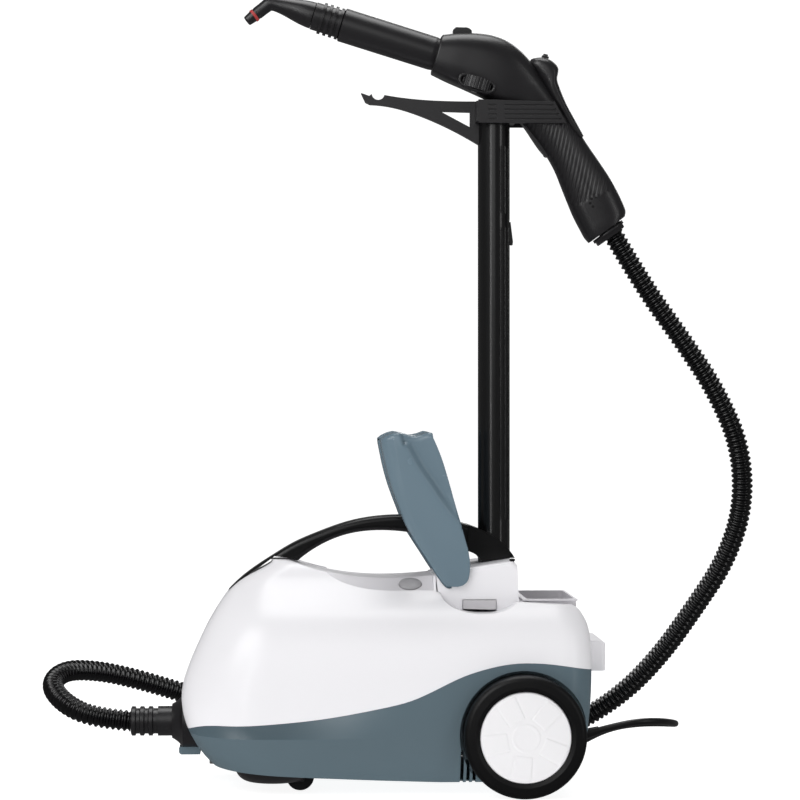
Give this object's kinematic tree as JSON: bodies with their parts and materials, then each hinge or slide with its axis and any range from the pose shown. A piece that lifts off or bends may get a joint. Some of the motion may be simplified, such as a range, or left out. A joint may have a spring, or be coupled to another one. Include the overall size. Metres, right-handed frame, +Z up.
{
  "type": "steam cleaner",
  "caption": "Wheeled canister steam cleaner: rounded housing, raised lid over an accessory bin, upright wand with a cradle for its steam gun, steam hose, mains cord and plug.",
  "frame": {"origin": "on the floor, under the middle of the cleaner's own box, cords left out", "axes": "+Z up along the wand, +Y across the wheels to the side away from the power button, +X from the hose outlet to the rear wheels"},
  "size_m": [0.7191, 0.4233, 0.7834],
  "materials": {
    "shell_white": "gloss",
    "shell_blue": "satin",
    "panel_white": "satin",
    "lid_grey": "satin",
    "control_grey": "satin",
    "handle_black": "satin",
    "black_plastic": "fine grain",
    "tube_black": "satin",
    "tyre_black": "tread",
    "hose_black": "corrugated",
    "cord_black": "smooth",
    "ring_red": "matt",
    "seal_rubber": "matt",
    "steel": "brushed",
    "aluminium": "pressed",
    "brass": "turned",
    "tank_clear": "milky",
    "board_green": "circuit board"
  },
  "bodies": {
    "cleaner": {"lower_shell": "shell_blue", "upper_shell": "shell_white", "top_panel": "panel_white", "tower": "shell_white", "carry_handle": "handle_black", "accessory_bin": "panel_white", "housing_screws": "steel", "power_switch": "black_plastic", "water_tank": "tank_clear", "rear_axle": "steel", "lower_tube": "tube_black", "upper_tube": "tube_black", "wand_holder": "black_plastic", "boiler_bowl": "aluminium", "boiler_dome": "aluminium", "boiler_gasket": "seal_rubber", "boiler_stand": "steel", "boiler_safety_parts": "brass", "water_pump": "black_plastic", "steam_valve": "brass", "boiler_pipes": "seal_rubber", "control_board": "board_green", "outlet_flange": "black_plastic", "hose_plug": "black_plastic", "hose_sleeve": "black_plastic", "steam_hose": "hose_black", "cord_strain_relief": "cord_black", "power_cord": "cord_black", "power_cord_coil": "cord_black", "plug_body": "cord_black", "plug_pins": "brass", "cord_hook": "shell_white"},
    "lid": {"lid": "lid_grey"},
    "power_button": {"power_button": "control_grey"},
    "catch_tab": {"catch_tab": "control_grey"},
    "filler_cap": {"filler_cap": "black_plastic"},
    "wheel_near": {"tyre_near": "tyre_black", "wheel_hub_near": "black_plastic", "hubcap_near": "shell_white"},
    "wheel_far": {"tyre_far": "tyre_black", "wheel_hub_far": "black_plastic", "hubcap_far": "shell_white"},
    "caster_near": {"caster_fork_near": "black_plastic"},
    "caster_wheel_near": {"caster_wheel_near": "tyre_black"},
    "caster_far": {"caster_fork_far": "black_plastic"},
    "caster_wheel_far": {"caster_wheel_far": "tyre_black"},
    "tube_lock_button": {"tube_lock_button": "tube_black"},
    "gun": {"gun_shell_near": "black_plastic", "gun_shell_far": "black_plastic", "gun_back_cover": "black_plastic", "gun_pins": "steel", "gun_steam_valve": "brass", "hose_ferrule": "black_plastic"},
    "steam_dial": {"steam_dial": "black_plastic"},
    "trigger": {"trigger": "black_plastic"},
    "lock_slider": {"lock_slider": "black_plastic"},
    "nozzle_release": {"nozzle_release": "black_plastic"},
    "nozzle": {"nozzle_adapter": "black_plastic", "nozzle_tip": "black_plastic", "nozzle_ring": "ring_red"}
  },
  "joints": [
    {"name": "lid_hinge", "type": "hinge", "parent": "cleaner", "child": "lid", "pos_m": [0.07485, 0, 0.207], "axis": [0, 1, 0], "range_deg": [0, 104]},
    {"name": "power_button_press", "type": "slide", "parent": "cleaner", "child": "power_button", "axis": [0, 0.4384, -0.8988], "range_m": [0, 0.0025], "stiffness_N_per_m": 400, "springref_m": -0.001},
    {"name": "catch_tab_press", "type": "slide", "parent": "cleaner", "child": "catch_tab", "axis": [0, 1, 0], "range_m": [0, 0.003], "stiffness_N_per_m": 400, "springref_m": -0.001},
    {"name": "filler_cap_turn", "type": "hinge", "parent": "cleaner", "child": "filler_cap", "pos_m": [0.16585, 0.032, 0.1433], "axis": [0, 0, 1], "range_deg": [0, 270]},
    {"name": "wheel_near_spin", "type": "hinge", "parent": "cleaner", "child": "wheel_near", "pos_m": [0.13435, -0.116, 0.059], "axis": [0, 1, 0], "continuous": true},
    {"name": "wheel_far_spin", "type": "hinge", "parent": "cleaner", "child": "wheel_far", "pos_m": [0.13435, 0.116, 0.059], "axis": [0, 1, 0], "continuous": true},
    {"name": "caster_near_swivel", "type": "hinge", "parent": "cleaner", "child": "caster_near", "pos_m": [-0.10615, -0.053, 0.042], "axis": [0, 0, 1], "continuous": true},
    {"name": "caster_wheel_near_spin", "type": "hinge", "parent": "caster_near", "child": "caster_wheel_near", "pos_m": [-0.08015, -0.053, 0.0135], "axis": [0, 1, 0], "continuous": true},
    {"name": "caster_far_swivel", "type": "hinge", "parent": "cleaner", "child": "caster_far", "pos_m": [-0.10615, 0.053, 0.042], "axis": [0, 0, 1], "continuous": true},
    {"name": "caster_wheel_far_spin", "type": "hinge", "parent": "caster_far", "child": "caster_wheel_far", "pos_m": [-0.08015, 0.053, 0.0135], "axis": [0, 1, 0], "continuous": true},
    {"name": "tube_lock_press", "type": "slide", "parent": "cleaner", "child": "tube_lock_button", "axis": [-1, 0, 0], "range_m": [0, 0.003], "stiffness_N_per_m": 400, "springref_m": -0.001},
    {"name": "gun_lift", "type": "slide", "parent": "cleaner", "child": "gun", "axis": [0, 0, 1], "range_m": [0, 0.12]},
    {"name": "steam_dial_turn", "type": "hinge", "parent": "gun", "child": "steam_dial", "pos_m": [0.09535, -0.0115, 0.6955], "axis": [0.2924, 0, 0.9563], "range_deg": [0, 270]},
    {"name": "trigger_pull", "type": "hinge", "parent": "gun", "child": "trigger", "pos_m": [0.13685, 0, 0.667], "axis": [0, -1, 0], "range_deg": [0, 8], "stiffness_Nm_per_rad": 0.6, "springref_deg": -5.73},
    {"name": "trigger_lock_slide", "type": "slide", "parent": "gun", "child": "lock_slider", "axis": [0.9781, 0, -0.2079], "range_m": [0, 0.004]},
    {"name": "nozzle_release_press", "type": "slide", "parent": "gun", "child": "nozzle_release", "axis": [0, 0, -1], "range_m": [0, 0.0025], "stiffness_N_per_m": 400, "springref_m": -0.001},
    {"name": "nozzle_pull_off", "type": "slide", "parent": "gun", "child": "nozzle", "axis": [-0.9553, 0, 0.2957], "range_m": [0, 0.05]}
  ]
}
